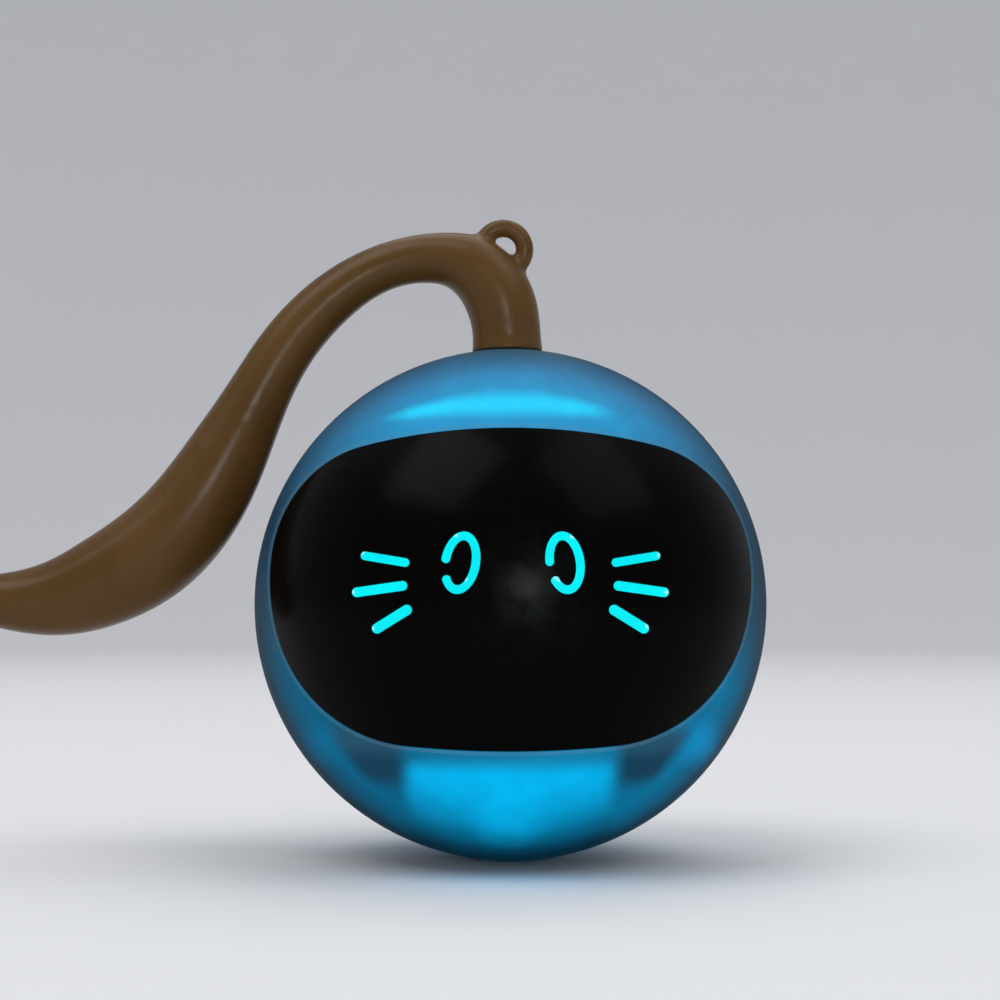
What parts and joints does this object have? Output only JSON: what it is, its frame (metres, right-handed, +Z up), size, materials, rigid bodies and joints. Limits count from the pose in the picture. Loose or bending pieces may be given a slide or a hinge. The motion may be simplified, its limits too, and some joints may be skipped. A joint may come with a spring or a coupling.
{
  "type": "self-rolling cat ball",
  "caption": "Self-rolling pet ball with a lit cat face behind a dark window, swinging drive weights inside and a curled silicone tail on a swivel.",
  "frame": {"origin": "point where the ball touches the floor, straight below its centre", "axes": "+Z up, face towards -Y, tail towards -X; weight axle along X, 40 mm above the floor"},
  "size_m": [0.1373, 0.0797, 0.1008],
  "materials": {
    "shell": "frosted translucent plastic, lit from inside",
    "lens": "smoked black, polished",
    "light_guide": "clear plastic, lit cyan",
    "silicone_brown": "satin silicone",
    "silicone_grey": "satin silicone",
    "button_plastic": "satin moulded",
    "frame_plastic": "moulded",
    "black_plastic": "moulded",
    "gear_plastic": "moulded acetal",
    "steel": "turned and ground",
    "zinc": "die cast",
    "brass": "turned",
    "motor_can": "drawn can",
    "board": "solder mask",
    "chip": "moulded",
    "led": "clear lens on white case",
    "battery_foil": "foil pouch",
    "lead_red": "insulated wire",
    "lead_white": "insulated wire"
  },
  "bodies": {
    "ball": {"front_shell": "shell", "rear_shell": "shell", "shell_screws": "steel", "face_lens": "lens", "face_light_guide": "light_guide", "face_light_housing": "black_plastic", "face_led_board": "board", "face_leds": "led", "face_board_screws": "steel", "chassis_left": "frame_plastic", "chassis_right": "frame_plastic", "chassis_screws": "steel", "gear_pins": "steel", "axle_bushes": "brass", "drive_motor": "motor_can", "battery": "battery_foil", "motor_leads": "lead_white", "battery_leads": "lead_red", "face_leads": "lead_white", "upper_light_board": "board", "upper_leds": "led", "lower_light_board": "board", "lower_leds": "led", "main_board": "board", "board_chips": "chip", "board_screws": "steel", "tact_switch": "black_plastic", "usb_socket": "steel", "port_cover_anchor": "silicone_grey"},
    "weight_rotor": {"axle": "steel", "output_gear": "gear_plastic", "weight_left": "zinc", "weight_right": "zinc", "axle_clips": "steel"},
    "second_gear_set": {"second_gear": "gear_plastic"},
    "first_gear_set": {"first_gear": "gear_plastic"},
    "motor_rotor": {"motor_pinion": "brass", "motor_shaft": "steel"},
    "button": {"power_button": "button_plastic", "switch_plunger": "black_plastic"},
    "port_cover": {"port_cover_flap": "silicone_grey"},
    "tail_swivel": {"tail": "silicone_brown", "tail_stem": "black_plastic"}
  },
  "joints": [
    {"name": "weight_spin", "type": "hinge", "parent": "ball", "child": "weight_rotor", "pos_m": [0, 0, 0.04], "axis": [1, 0, 0], "continuous": true},
    {"name": "second_gear_spin", "type": "hinge", "parent": "ball", "child": "second_gear_set", "pos_m": [0, 0.00694, 0.04827], "axis": [1, 0, 0], "continuous": true},
    {"name": "first_gear_spin", "type": "hinge", "parent": "ball", "child": "first_gear_set", "pos_m": [0, -0.00362, 0.05052], "axis": [1, 0, 0], "continuous": true},
    {"name": "motor_spin", "type": "hinge", "parent": "ball", "child": "motor_rotor", "pos_m": [0, -0.01426, 0.04864], "axis": [1, 0, 0], "continuous": true},
    {"name": "button_press", "type": "slide", "parent": "ball", "child": "button", "axis": [0, -1, 0], "range_m": [0, 0.0005], "stiffness_N_per_m": 1500, "springref_m": -0.0003},
    {"name": "port_cover_hinge", "type": "hinge", "parent": "ball", "child": "port_cover", "pos_m": [-0.0083, 0.03882, 0.031], "axis": [0, 0, 1], "range_deg": [0, 110], "stiffness_Nm_per_rad": 0.0006},
    {"name": "tail_turn", "type": "hinge", "parent": "ball", "child": "tail_swivel", "pos_m": [0, 0, 0.08], "axis": [0, 0, 1], "continuous": true}
  ],
  "couplings": [
    {"joint": "second_gear_spin", "follows": "weight_spin", "ratio": -3.5},
    {"joint": "first_gear_spin", "follows": "weight_spin", "ratio": 12.25},
    {"joint": "motor_spin", "follows": "weight_spin", "ratio": -42.875}
  ]
}
